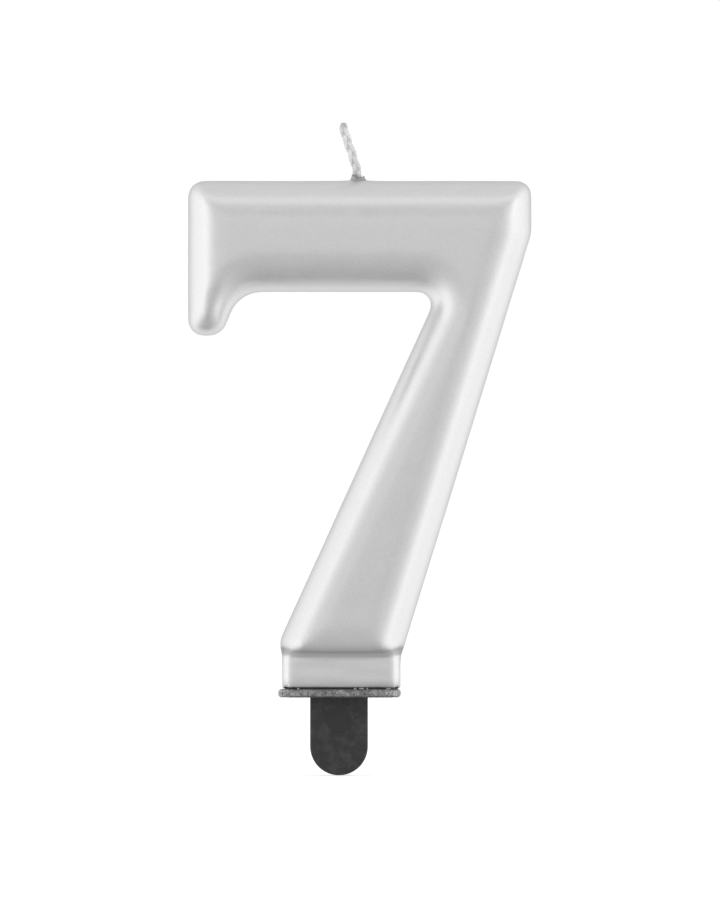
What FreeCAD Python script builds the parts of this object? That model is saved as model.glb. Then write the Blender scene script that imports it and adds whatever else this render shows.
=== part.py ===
import FreeCAD
import Part
import math
import os

# Number candle in the shape of a 7.
# +Z is up, +X is to the reader's right and -Y faces the reader. The origin is on the axis of
# the cake tongue, in the underside of the plate that rests on the cake. All lengths in mm.

V = FreeCAD.Vector

# The numeral, seen from the front.
LEFT_X = -23.40
RIGHT_X = 29.83
TOP_Z = 80.00
UNDERSIDE_Z = 62.78         # underside of the top bar
HOOK_TIP_Z = 55.98
KNEE_Z = 71.90              # where the right side turns into the stem
STEM_END_Z = 4.64           # lower edge of the stem, inside the foot
OUTER_SLOPE = 0.3075        # dX/dZ of the stem's right side
INNER_CORNER_X = 15.40      # where the stem's left side would meet the bar's underside
INNER_SLOPE = 0.4559        # dX/dZ of the stem's left side
HOOK_CORNER_X = -15.59      # where the hook's right side would meet the bar's underside
HOOK_SLOPE = 0.38           # dX/dZ of the hook's right side

# Corner radii of that outline.
TOP_LEFT_R = 2.5
TOP_RIGHT_R = 2.2
KNEE_R = 2.0
STEM_END_R = 3.5
INNER_CORNER_R = 2.0
HOOK_CORNER_R = 5.2
HOOK_TIP_RIGHT_R = 3.05
HOOK_TIP_LEFT_R = 2.5

# Its thickness: round sides of SIDE_R with a narrow flat band at the parting line.
SIDE_R = 6.2
BAND_HALF = 0.8
HALF_DEPTH = SIDE_R + BAND_HALF
COAT = 0.20                 # lacquer thickness

# The foot under the stem.
FOOT_LEFT_X = -8.82
FOOT_RIGHT_X = 9.55
FOOT_HALF_Y = 5.70
FOOT_TOP_Z = 7.3            # just above the crease under the stem
FOOT_END_Z = 1.5
FOOT_CORNER_R = 1.9
FOOT_LOWER_R = 0.35

# The holder: plate, raised pad under the wax, tang in the wax, tongue in the cake.
PLATE_LEFT_X = -9.42
PLATE_RIGHT_X = 9.56
PLATE_HALF_Y = 6.10
PLATE_T = 1.20
PLATE_CORNER_R = 2.2
PLATE_EDGE_R = 0.50
PAD_INSET = 0.4             # from the foot's side to the pad's
PAD_CORNER_R = 1.5
PAD_TOP_Z = FOOT_END_Z + COAT
TANG_HALF_X = 4.0
TANG_HALF_Y = 1.2
TANG_TOP_Z = 13.0
TANG_CORNER_R = 0.8
KEY_HOLE_R = 1.2
KEY_HOLE_Z = (5.2, 9.6)
TONGUE_HALF_X = 4.48
TONGUE_HALF_Y = 1.0
TONGUE_TIP_Z = -12.14
TONGUE_EDGE_R = 0.3
EJECTOR_R = 2.0
EJECTOR_DEPTH = 0.15
EJECTOR_Z = -3.57

# The wick and its seal.
WICK_R = 0.75
WICK_X = 2.98
WICK_BED_Z = 66.0
WICK_ROUTE = ((WICK_X, WICK_BED_Z), (WICK_X, 81.7), (0.85, 87.3), (0.62, 88.9))  # X, Z
WICK_BEND_R = 7.5
SEAL_R = 1.2
SEAL_RIM_H = 0.30
SEAL_RIM_LAND = 0.15        # width of the rim's top

REACH = 0.6                 # how far a cutter reaches outside the outline
FLAT = 1e-6                 # an edge this level or upright counts as exactly so


def outline_corners():
    """Corners of the numeral, clockwise from the top left: X, Z and radius.

    A negative radius marks a corner that turns the other way, into the figure.
    """
    stem_right_x = RIGHT_X - OUTER_SLOPE * (KNEE_Z - STEM_END_Z)
    stem_left_x = INNER_CORNER_X - INNER_SLOPE * (UNDERSIDE_Z - STEM_END_Z)
    hook_right_x = HOOK_CORNER_X - HOOK_SLOPE * (UNDERSIDE_Z - HOOK_TIP_Z)
    return [
        (LEFT_X, TOP_Z, TOP_LEFT_R),
        (RIGHT_X, TOP_Z, TOP_RIGHT_R),
        (RIGHT_X, KNEE_Z, KNEE_R),
        (stem_right_x, STEM_END_Z, STEM_END_R),
        (stem_left_x, STEM_END_Z, STEM_END_R),
        (INNER_CORNER_X, UNDERSIDE_Z, -INNER_CORNER_R),
        (HOOK_CORNER_X, UNDERSIDE_Z, -HOOK_CORNER_R),
        (hook_right_x, HOOK_TIP_Z, HOOK_TIP_RIGHT_R),
        (LEFT_X, HOOK_TIP_Z, HOOK_TIP_LEFT_R),
    ]


def direction(a, b):
    """Unit vector from point a to point b."""
    return (b - a).normalize()


def inward(along):
    """Normal of a clockwise side, pointing into the figure."""
    return V(along.z, 0, -along.x)


def inset_corners(inset):
    """The outline's corners after every side has moved in by inset, with their new radii."""
    corners = [(V(x, 0, z), r) for x, z, r in outline_corners()]
    moved = []
    for i, (point, radius) in enumerate(corners):
        before = direction(corners[i - 1][0], point)
        after = direction(point, corners[(i + 1) % len(corners)][0])
        n1, n2 = inward(before), inward(after)
        shift = (n1 + n2) * (inset / (1 + n1.dot(n2)))
        moved.append((point + shift, radius - inset))
    return moved


def corner_arcs(inset):
    """For each corner: arc centre, start, middle, end, radius and whether it is convex."""
    corners = inset_corners(inset)
    arcs = []
    for i, (point, signed) in enumerate(corners):
        before = direction(corners[i - 1][0], point)
        after = direction(point, corners[(i + 1) % len(corners)][0])
        radius = abs(signed)
        half_turn = before.getAngle(after) / 2
        tangent = radius * math.tan(half_turn)
        start = point - before * tangent
        end = point + after * tangent
        convex = signed > 0
        centre = start + inward(before) * (radius if convex else -radius)
        middle = centre + direction(centre, point) * radius
        arcs.append((centre, start, middle, end, radius, convex))
    return arcs


def outline_face(inset):
    """The numeral's front outline as a face in the XZ plane."""
    arcs = corner_arcs(inset)
    edges = []
    for i, (_, start, middle, end, _, _) in enumerate(arcs):
        edges.append(Part.Arc(start, middle, end).toShape())
        edges.append(Part.LineSegment(end, arcs[(i + 1) % len(arcs)][1]).toShape())
    return Part.Face(Part.Wire(edges))


def side_waste(origin, outward, round_r, limit=None):
    """Section of what is taken off outside the round side, in front of mid-depth.

    origin is on the outline and outward points away from the figure. limit is how far in the
    section may reach, for a corner whose arc is smaller than round_r.
    """
    depth = BAND_HALF + round_r
    reach_in = round_r if limit is None else min(limit, round_r)
    angle = math.acos(1 - reach_in / round_r)

    def at(inside, forward):
        return origin - outward * inside + V(0, -forward, 0)

    def on_round(a):
        return at(round_r * (1 - math.cos(a)), BAND_HALF + round_r * math.sin(a))

    foot = at(0, BAND_HALF)
    top = on_round(angle)
    lid = at(reach_in, depth + REACH)
    far = at(-REACH, depth + REACH)
    near = at(-REACH, 0)
    base = at(0, 0)
    edges = [
        Part.LineSegment(base, foot).toShape(),
        Part.Arc(foot, on_round(angle / 2), top).toShape(),
        Part.LineSegment(top, lid).toShape(),
        Part.LineSegment(lid, far).toShape(),
        Part.LineSegment(far, near).toShape(),
        Part.LineSegment(near, base).toShape(),
    ]
    return Part.Face(Part.Wire(edges))


def straight_cutter(start, end, round_r):
    """Cutter that rounds one straight side of the numeral."""
    outward = inward(direction(start, end)) * -1
    return side_waste(start, outward, round_r).extrude(end - start)


def corner_cutter(arc, round_r):
    """Cutter that rounds one corner of the numeral, turned about the corner's centre."""
    centre, start, _, end, radius, convex = arc
    outward = direction(centre, start) * (1 if convex else -1)
    limit = radius if convex else None
    section = side_waste(start, outward, round_r, limit)
    turn = math.degrees((start - centre).getAngle(end - centre))
    spin = (start - centre).cross(end - centre)
    axis = V(0, 1, 0) if spin.y > 0 else V(0, -1, 0)
    return section.revolve(centre, axis, turn)


def numeral(inset):
    """The pillow-shaped 7, every side moved in by inset: a front half and its mirror image."""
    round_r = SIDE_R - inset
    arcs = corner_arcs(inset)
    half = outline_face(inset).extrude(V(0, inset - HALF_DEPTH, 0))
    for i, arc in enumerate(arcs):
        following = arcs[(i + 1) % len(arcs)]
        half = half.cut(straight_cutter(arc[3], following[1], round_r))
    for arc in arcs:
        half = half.cut(corner_cutter(arc, round_r))
    return half.fuse(half.mirror(V(0, 0, 0), V(0, 1, 0))).removeSplitter()


def rounded_box(x0, x1, half_y, z0, z1, corner_r):
    """Upright box with rounded vertical edges."""
    box = Part.makeBox(x1 - x0, 2 * half_y, z1 - z0, V(x0, -half_y, z0))
    upright = [e for e in box.Edges if e.BoundBox.ZLength > z1 - z0 - FLAT]
    return box.makeFillet(corner_r, upright)


def edges_at(shape, z):
    """Edges of shape that lie level at height z."""
    return [e for e in shape.Edges if abs(e.BoundBox.Center.z - z) < FLAT and e.BoundBox.ZLength < FLAT]


def foot(inset):
    """The square foot under the stem, its lower edge rounded."""
    end_z = FOOT_END_Z + inset
    box = rounded_box(FOOT_LEFT_X + inset, FOOT_RIGHT_X - inset, FOOT_HALF_Y - inset,
                      end_z, FOOT_TOP_Z, FOOT_CORNER_R - inset)
    return box.makeFillet(FOOT_LOWER_R - inset, edges_at(box, end_z))


def candle_solid(inset):
    """Numeral and foot in one, every face moved in by inset."""
    return numeral(inset).fuse(foot(inset)).removeSplitter()


def upright_pin(radius, x, z0, z1):
    """Upright cylinder."""
    return Part.makeCylinder(radius, z1 - z0, V(x, 0, z0), V(0, 0, 1))


def pad():
    """Raised pad on the plate, on which the bare wax sits inside the lacquer's lower edge."""
    return rounded_box(FOOT_LEFT_X + PAD_INSET, FOOT_RIGHT_X - PAD_INSET, FOOT_HALF_Y - PAD_INSET,
                       PLATE_T / 2, PAD_TOP_Z, PAD_CORNER_R)


def tang():
    """Blade of the holder inside the wax, with two holes that the wax fills."""
    blade = Part.makeBox(2 * TANG_HALF_X, 2 * TANG_HALF_Y, TANG_TOP_Z - PLATE_T,
                         V(-TANG_HALF_X, -TANG_HALF_Y, PLATE_T))
    top_corners = [e for e in edges_at(blade, TANG_TOP_Z) if e.BoundBox.XLength < FLAT]
    blade = blade.makeFillet(TANG_CORNER_R, top_corners)
    for z in KEY_HOLE_Z:
        blade = blade.cut(Part.makeCylinder(KEY_HOLE_R, 4 * TANG_HALF_Y,
                                            V(0, -2 * TANG_HALF_Y, z), V(0, 1, 0)))
    return blade


def tongue():
    """Flat tongue with a round tip and the shallow mark of an ejector pin."""
    tip_centre_z = TONGUE_TIP_Z + TONGUE_HALF_X
    right = V(TONGUE_HALF_X, -TONGUE_HALF_Y, tip_centre_z)
    left = V(-TONGUE_HALF_X, -TONGUE_HALF_Y, tip_centre_z)
    tip = V(0, -TONGUE_HALF_Y, TONGUE_TIP_Z)
    root_right = V(TONGUE_HALF_X, -TONGUE_HALF_Y, PLATE_T / 2)
    root_left = V(-TONGUE_HALF_X, -TONGUE_HALF_Y, PLATE_T / 2)
    wire = Part.Wire([
        Part.LineSegment(root_left, root_right).toShape(),
        Part.LineSegment(root_right, right).toShape(),
        Part.Arc(right, tip, left).toShape(),
        Part.LineSegment(left, root_left).toShape(),
    ])
    blade = Part.Face(wire).extrude(V(0, 2 * TONGUE_HALF_Y, 0))
    rim = [e for e in blade.Edges if e.BoundBox.YLength < FLAT and e.BoundBox.ZMin < 0]
    blade = blade.makeFillet(TONGUE_EDGE_R, rim)
    mark = Part.makeCylinder(EJECTOR_R, EJECTOR_DEPTH, V(0, -TONGUE_HALF_Y, EJECTOR_Z), V(0, 1, 0))
    return blade.cut(mark)


def holder():
    """Rest plate, pad, tang and tongue as one plastic moulding."""
    plate = rounded_box(PLATE_LEFT_X, PLATE_RIGHT_X, PLATE_HALF_Y, 0, PLATE_T, PLATE_CORNER_R)
    plate = plate.makeFillet(PLATE_EDGE_R, edges_at(plate, 0) + edges_at(plate, PLATE_T))
    return plate.fuse([pad(), tang(), tongue()]).removeSplitter()


def wick():
    """Round wick: upright in the wax, then leaning to the left."""
    points = [V(x, 0, z) for x, z in WICK_ROUTE]
    path = []
    place = points[0]
    for before, corner, after in zip(points, points[1:], points[2:]):
        a, b = direction(before, corner), direction(corner, after)
        room = WICK_BEND_R * math.tan(a.getAngle(b) / 2)
        start, end = corner - a * room, corner + b * room
        centre = start + (b - a * a.dot(b)).normalize() * WICK_BEND_R
        middle = centre + direction(centre, corner) * WICK_BEND_R
        path.append(Part.LineSegment(place, start).toShape())
        path.append(Part.Arc(start, middle, end).toShape())
        place = end
    path.append(Part.LineSegment(place, points[-1]).toShape())
    ring = Part.Wire(Part.makeCircle(WICK_R, points[0], V(0, 0, 1)))
    return Part.Wire(path).makePipeShell([ring], True, False)


def wick_seal():
    """Wax plug round the wick in its hole, with a small raised rim at the top."""
    plug = upright_pin(SEAL_R, WICK_X, WICK_BED_Z, TOP_Z)
    rim = Part.makeCone(SEAL_R, WICK_R + SEAL_RIM_LAND, SEAL_RIM_H, V(WICK_X, 0, TOP_Z), V(0, 0, 1))
    bore = upright_pin(WICK_R, WICK_X, WICK_BED_Z, TOP_Z + 2 * SEAL_RIM_H)
    return plug.fuse(rim).removeSplitter().cut(bore)


def candle_pieces():
    """Every piece of the candle, by name."""
    wick_hole = upright_pin(SEAL_R, WICK_X, WICK_BED_Z, TOP_Z + 1)
    core = candle_solid(COAT)
    skin = candle_solid(0).cut(core).cut([wick_hole, pad()])
    wax = core.cut(tang()).cut(wick_hole)
    return {
        "wax_body": wax,
        "lacquer_coat": skin,
        "wick": wick(),
        "wick_seal": wick_seal(),
        "holder": holder(),
    }


os.makedirs("parts", exist_ok=True)
for name, shape in candle_pieces().items():
    (solid,) = shape.Solids
    box = solid.BoundBox
    print("%s: valid %s, %.1f mm3, %.1f x %.1f x %.1f mm" % (
        name, solid.isValid(), solid.Volume, box.XLength, box.YLength, box.ZLength))
    solid.exportStep("parts/" + name + ".step")
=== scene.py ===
"""Numeral candle: silver pearl lacquer over wax, a plaited cotton wick and a moulded black holder."""
import logging
import math
import random
from dataclasses import dataclass
from enum import Enum

import bmesh
import bpy
from bpy.types import Material, Node, NodeSocket, NodeTree, Object
from mathutils import Matrix, Vector, noise


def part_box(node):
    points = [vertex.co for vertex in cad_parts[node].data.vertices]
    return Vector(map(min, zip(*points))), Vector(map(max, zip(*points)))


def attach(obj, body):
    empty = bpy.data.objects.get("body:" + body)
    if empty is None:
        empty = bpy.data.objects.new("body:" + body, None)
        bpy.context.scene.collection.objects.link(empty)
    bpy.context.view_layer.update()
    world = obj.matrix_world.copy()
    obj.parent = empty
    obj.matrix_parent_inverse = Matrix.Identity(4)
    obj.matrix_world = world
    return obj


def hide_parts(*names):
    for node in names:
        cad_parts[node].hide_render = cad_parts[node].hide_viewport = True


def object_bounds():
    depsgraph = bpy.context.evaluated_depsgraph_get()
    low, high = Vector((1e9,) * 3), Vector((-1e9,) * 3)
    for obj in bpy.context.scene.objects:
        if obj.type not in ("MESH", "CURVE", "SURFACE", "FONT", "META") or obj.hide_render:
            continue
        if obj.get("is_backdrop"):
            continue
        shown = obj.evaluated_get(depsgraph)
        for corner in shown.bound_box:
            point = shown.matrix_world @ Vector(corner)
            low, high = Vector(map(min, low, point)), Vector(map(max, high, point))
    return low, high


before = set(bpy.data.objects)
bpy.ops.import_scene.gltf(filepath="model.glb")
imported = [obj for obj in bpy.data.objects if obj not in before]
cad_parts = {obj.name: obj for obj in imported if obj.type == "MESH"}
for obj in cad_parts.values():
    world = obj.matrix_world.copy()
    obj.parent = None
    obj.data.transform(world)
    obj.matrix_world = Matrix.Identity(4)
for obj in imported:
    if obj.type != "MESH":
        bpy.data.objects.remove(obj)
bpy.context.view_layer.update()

log = logging.getLogger("candle")

MM = 0.001
BODY = "root"
CREVICE_SHADE = "painted_crevice_shade"          # vertex attribute of painted shade: 0 in the open, 1 deep in a crease; on the lacquer it also darkens the foot low down, partly pooled lacquer and dirt
MERGE = 1e-7                 # points closer than this, in metres, are one point
WHITE = (1.0, 1.0, 1.0)

Point = tuple[float, float, float]
Colour = tuple[float, float, float]
Span = tuple[float, float]


class Slot(Enum):
    """Material slots of the record."""

    WAX = "wax"
    LACQUER = "silver_lacquer"
    COTTON = "wick_cotton"


class Ramp(Enum):
    """How a mapped value eases between its ends."""

    STRAIGHT = "LINEAR"
    SMOOTH = "SMOOTHSTEP"


# ------------------------------------------------------------------ helpers


def ease(low: float, high: float, value: float) -> float:
    """Smooth step: 0 where value is at low, 1 where it is at high; low may be above high."""
    share = min(1.0, max(0.0, (value - low) / (high - low)))
    return share * share * (3 - 2 * share)


def hump(centre: float, width: float, value: float) -> float:
    """Bell curve of height 1 at the centre, down to about a third at its width from there."""
    return math.exp(-((value - centre) / width) ** 2)


def waver(place: Vector, size: Point, seed: float = 0.0) -> float:
    """Seeded soft noise from about -1 to 1, with waves of the given size along each axis."""
    return noise.noise(Vector((place.x / size[0] + seed, place.y / size[1] - seed, place.z / size[2])))


def loose_object(name: str, bm: bmesh.types.BMesh) -> Object:
    """Puts a mesh in the scene as an object.

    Args:
        name: The object's name.
        bm: The mesh, which is freed.

    Returns:
        The object.
    """
    mesh = bpy.data.meshes.new(name)
    bm.to_mesh(mesh)
    bm.free()
    thing = bpy.data.objects.new(name, mesh)
    bpy.context.scene.collection.objects.link(thing)
    return thing


def baked(thing: Object) -> bmesh.types.BMesh:
    """Takes the mesh of an object with its modifiers applied, and deletes the object.

    Args:
        thing: The object.

    Returns:
        The mesh.
    """
    bm = bmesh.new()
    bm.from_object(thing, bpy.context.evaluated_depsgraph_get())
    bpy.data.objects.remove(thing)
    return bm


def remeshed(bm: bmesh.types.BMesh, voxel: float) -> bmesh.types.BMesh:
    """Closed form remade as one even skin of squares.

    Args:
        bm: Closed, overlapping solids. It is freed.
        voxel: Side of one square.

    Returns:
        The new mesh.
    """
    thing = loose_object("remesh", bm)
    even = thing.modifiers.new("even", "REMESH")
    even.mode = "VOXEL"
    even.voxel_size = voxel
    return baked(thing)


def cut_away(bm: bmesh.types.BMesh, cutter: Object) -> bmesh.types.BMesh:
    """The form less the cutter.

    Args:
        bm: The form, which is freed.
        cutter: Closed solid to take away.

    Returns:
        What is left.
    """
    thing = loose_object("cut", bm)
    less = thing.modifiers.new("less", "BOOLEAN")
    less.operation = "DIFFERENCE"
    less.solver = "EXACT"
    less.object = cutter
    return baked(thing)


def curve_mesh(data: bpy.types.Curve) -> bpy.types.Mesh:
    """Turns a curve into a mesh.

    Args:
        data: The curve.

    Returns:
        Its mesh.
    """
    thing = bpy.data.objects.new(data.name, data)
    bpy.context.scene.collection.objects.link(thing)
    mesh = bpy.data.meshes.new_from_object(thing)
    bpy.data.objects.remove(thing)
    return mesh


def relax(bm: bmesh.types.BMesh, verts: list[bmesh.types.BMVert]) -> None:
    """One pass of smoothing over the given points."""
    bmesh.ops.smooth_vert(bm, verts=verts, factor=0.5, use_axis_x=True, use_axis_y=True, use_axis_z=True)


def block(bm: bmesh.types.BMesh, low: Point, high: Point) -> list[bmesh.types.BMVert]:
    """Adds a closed block.

    Args:
        bm: Mesh to add to.
        low: Its lowest corner.
        high: Its highest corner.

    Returns:
        Its points.
    """
    size = Vector(high) - Vector(low)
    place = Matrix.Translation((Vector(high) + Vector(low)) / 2) @ Matrix.Diagonal((*size, 1.0))
    return bmesh.ops.create_cube(bm, size=1.0, matrix=place)["verts"]


def finished(name: str, bm: bmesh.types.BMesh, finish: Material, stands_for: str = "",
             sharp: float = 0.0) -> Object:
    """Turns a mesh into a smooth piece that rides on the candle.

    Args:
        name: Piece name.
        bm: The mesh, which is freed.
        finish: Its material.
        stands_for: The CAD node that it replaces, if any.
        sharp: Edges that turn by more than this many degrees stay sharp; 0 for none.

    Returns:
        The piece.
    """
    bmesh.ops.recalc_face_normals(bm, faces=bm.faces[:])
    for face in bm.faces:
        face.smooth = True
    piece = loose_object(name, bm)
    if sharp:
        piece.data.set_sharp_from_angle(angle=math.radians(sharp))
    piece.data.materials.append(finish)
    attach(piece, BODY)
    if stands_for:
        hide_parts(stands_for)
    return piece


def thicken(piece: Object, film: float) -> None:
    """Gives a piece's skin its thickness, inwards.

    Args:
        piece: The piece.
        film: The thickness.
    """
    wall = piece.modifiers.new("film", "SOLIDIFY")
    wall.thickness = film
    wall.offset = -1.0


# ------------------------------------------------------------------ finishes


class Wiring:
    """A node tree, with short calls for the nodes that finishes and surround share."""

    def __init__(self, tree: NodeTree, place: str) -> None:
        """Empties a tree and adds the place that its patterns read.

        Args:
            tree: The tree.
            place: Which output of the texture coordinates is read.
        """
        self.tree = tree
        self.tree.nodes.clear()
        self.place = self.tree.nodes.new("ShaderNodeTexCoord").outputs[place]

    def feed(self, socket: NodeSocket, value: object) -> None:
        """Links or sets one input.

        Args:
            socket: The input.
            value: A socket to link, or a value to set.
        """
        if isinstance(value, NodeSocket):
            self.tree.links.new(value, socket)
        elif socket.type == "RGBA" and len(value) == 3:
            socket.default_value = (*value, 1.0)
        else:
            socket.default_value = value

    def node(self, kind: str, **inputs: object) -> Node:
        """Adds a node.

        Args:
            kind: Node type.
            **inputs: Its inputs by name, with underscores for spaces; values or sockets.

        Returns:
            The node.
        """
        made = self.tree.nodes.new(kind)
        for name, value in inputs.items():
            self.feed(made.inputs[name.replace("_", " ")], value)
        return made

    def maths(self, operation: str, *values: object) -> NodeSocket:
        """One sum on values.

        Args:
            operation: What the Math node does.
            *values: Values or sockets, in its order.

        Returns:
            The result.
        """
        made = self.tree.nodes.new("ShaderNodeMath")
        made.operation = operation
        for socket, value in zip(made.inputs, values):
            self.feed(socket, value)
        return made.outputs[0]

    def mapped(self, value: object, low: float, high: float, to_low: float, to_high: float,
               ramp: Ramp = Ramp.STRAIGHT) -> NodeSocket:
        """Maps one range of a value to another, clamped.

        Args:
            value: Value or socket.
            low: Start of the range read.
            high: End of the range read.
            to_low: Result at low.
            to_high: Result at high.
            ramp: How it eases.

        Returns:
            The mapped value.
        """
        made = self.node("ShaderNodeMapRange", Value=value, From_Min=low, From_Max=high, To_Min=to_low,
                         To_Max=to_high)
        made.interpolation_type = ramp.value
        return made.outputs["Result"]

    def sum(self, *parts: tuple[object, float]) -> NodeSocket:
        """Weighted sum of values.

        Args:
            *parts: Pairs of a value and its weight.

        Returns:
            The sum.
        """
        total: object = 0.0
        for value, weight in parts:
            total = self.maths("MULTIPLY_ADD", value, weight, total)
        return total

    def product(self, first: object, second: object) -> NodeSocket:
        """Product of two values."""
        return self.maths("MULTIPLY", first, second)

    def axis(self, letter: str) -> NodeSocket:
        """One coordinate of the place."""
        return self.node("ShaderNodeSeparateXYZ", Vector=self.place).outputs[letter]


class Bench(Wiring):
    """A material's node tree, read in metres on the piece itself."""

    def __init__(self, name: str) -> None:
        """Starts a material with one Principled shader on its output.

        Args:
            name: The material's name.
        """
        self.material = bpy.data.materials.new(name)
        self.material.use_nodes = True
        super().__init__(self.material.node_tree, "Object")
        self.shader = self.tree.nodes.new("ShaderNodeBsdfPrincipled")
        self.output = self.node("ShaderNodeOutputMaterial", Surface=self.shader.outputs["BSDF"])

    def cloud(self, grain: float, detail: float = 2.0, rough: float = 0.55) -> NodeSocket:
        """Soft noise.

        Args:
            grain: Size of one feature, in metres.
            detail: Octaves.
            rough: Weight of the finer octaves.

        Returns:
            A value from 0 to 1, mostly near a half.
        """
        made = self.node("ShaderNodeTexNoise", Vector=self.place, Scale=1.0 / grain, Detail=detail,
                         Roughness=rough)
        return made.outputs["Fac"]

    def flakes(self, grain: float) -> NodeSocket:
        """One random grey per cell of the given size."""
        made = self.node("ShaderNodeTexVoronoi", Vector=self.place, Scale=1.0 / grain)
        return self.node("ShaderNodeSeparateColor", Color=made.outputs["Color"]).outputs["Red"]

    def mix(self, share: object, first: object, second: object) -> NodeSocket:
        """Colour between two.

        Args:
            share: 0 for the first, 1 for the second.
            first: Colour or socket.
            second: Colour or socket.

        Returns:
            The mixed colour.
        """
        made = self.tree.nodes.new("ShaderNodeMix")
        made.data_type = "RGBA"
        self.feed(made.inputs["Factor"], share)
        colours = [s for s in made.inputs if s.type == "RGBA"]
        self.feed(colours[0], first)
        self.feed(colours[1], second)
        return [s for s in made.outputs if s.type == "RGBA"][0]

    def marked(self, name: str) -> NodeSocket:
        """A number stored on the piece's points.

        Args:
            name: The attribute's name.

        Returns:
            The number.
        """
        made = self.tree.nodes.new("ShaderNodeAttribute")
        made.attribute_name = name
        return made.outputs["Fac"]

    def relief(self, *layers: tuple[NodeSocket, float]) -> NodeSocket:
        """Fine relief.

        Args:
            *layers: Pairs of a height pattern from 0 to 1 and its depth in metres, coarsest first.

        Returns:
            The normal.
        """
        under = None
        for height, depth in layers:
            made = self.node("ShaderNodeBump", Height=height, Distance=depth, Strength=1.0)
            if under is not None:
                self.feed(made.inputs["Normal"], under)
            under = made.outputs["Normal"]
        return under

    def shade(self, **inputs: object) -> Material:
        """Sets or links the shader's inputs.

        Args:
            **inputs: The inputs by name, with underscores for spaces; values or sockets.

        Returns:
            The finished material.
        """
        for name, value in inputs.items():
            self.feed(self.shader.inputs[name.replace("_", " ")], value)
        return self.material


@dataclass(frozen=True)
class PearlLacquer:
    """Silver pearl lacquer: fine flake in a satin film, greyer by painted shade in creases and gaps, partly
    also pooled lacquer.
    """

    bright: Colour = (0.83, 0.83, 0.83)
    dull: Colour = (0.77, 0.77, 0.77)
    shade_and_pool_grey: Colour = (0.40, 0.40, 0.40)
    rim: Colour = (0.66, 0.66, 0.66)
    flake: float = 0.13 * MM
    grain: float = 0.36 * MM
    cloud: float = 3.0 * MM
    rough: Span = (0.30, 0.40)
    metallic: float = 0.92
    depth: float = 0.006 * MM

    def build(self) -> Material:
        """Makes the finish.

        Returns:
            The material.
        """
        bench = Bench("silver_pearl_lacquer")
        flake = bench.flakes(self.flake)
        grain = bench.cloud(self.grain, 2.0)
        cloud = bench.cloud(self.cloud, 3.0)
        tone = bench.sum((flake, 0.30), (grain, 0.45), (cloud, 0.25))
        colour = bench.mix(bench.mapped(tone, 0.32, 0.68, 0.0, 1.0), self.dull, self.bright)
        # painted shade: the colour goes to dark grey where the stored shade mark is high (crease, collar
        # pit, beads in the gap), partly pooled lacquer on the foot
        colour = bench.mix(bench.marked(CREVICE_SHADE), colour, self.shade_and_pool_grey)
        rough = bench.mapped(bench.sum((grain, 0.5), (cloud, 0.5)), 0.35, 0.65, *self.rough)
        relief = bench.relief((cloud, self.depth), (grain, self.depth))
        return bench.shade(Base_Color=colour, Metallic=self.metallic, Roughness=rough,
                           Specular_Tint=self.rim, Normal=relief)


@dataclass(frozen=True)
class WornOverspray:
    """Stray silver lacquer on black plastic: mottled, rubbed thin and through in places, with painted shade
    along the plate's lower edge.
    """

    fresh: Colour = (0.62, 0.61, 0.615)
    silver: Colour = (0.37, 0.36, 0.365)
    thin: Colour = (0.18, 0.174, 0.177)
    bare_black_and_shade: Colour = (0.075, 0.072, 0.074)
    speck: float = 0.30 * MM
    patch: float = 1.3 * MM
    ends: Span = (6.6 * MM, 9.2 * MM)
    rough: Span = (0.62, 0.44)
    metallic: float = 0.45

    def build(self) -> Material:
        """Makes the finish.

        Returns:
            The material.
        """
        bench = Bench("worn_overspray")
        speck = bench.cloud(self.speck, 3.0, 0.6)
        patch = bench.cloud(self.patch, 3.0, 0.6)
        cover = bench.sum((speck, 0.55), (patch, 0.45))
        away = bench.maths("ABSOLUTE", bench.axis("X"))
        ends = bench.mapped(away, *self.ends, 0.0, 0.8, Ramp.SMOOTH)
        silver = bench.mix(ends, self.silver, self.fresh)
        thin = bench.mix(ends, self.thin, self.silver)
        colour = bench.mix(bench.mapped(cover, 0.46, 0.58, 0.0, 1.0, Ramp.SMOOTH), thin, silver)
        rubbed = bench.mapped(bench.sum((speck, 0.65), (patch, 0.35)), 0.36, 0.45, 1.0, 0.0, Ramp.SMOOTH)
        colour = bench.mix(rubbed, colour, self.bare_black_and_shade)
        # painted shade: black along the plate's lower edge, where the stored shade mark is high
        colour = bench.mix(bench.marked(CREVICE_SHADE), colour, self.bare_black_and_shade)
        rough = bench.mapped(speck, 0.35, 0.65, *self.rough)
        relief = bench.relief((patch, 0.03 * MM), (speck, 0.05 * MM))
        return bench.shade(Base_Color=colour, Metallic=self.metallic, Roughness=rough, Normal=relief)


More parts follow.
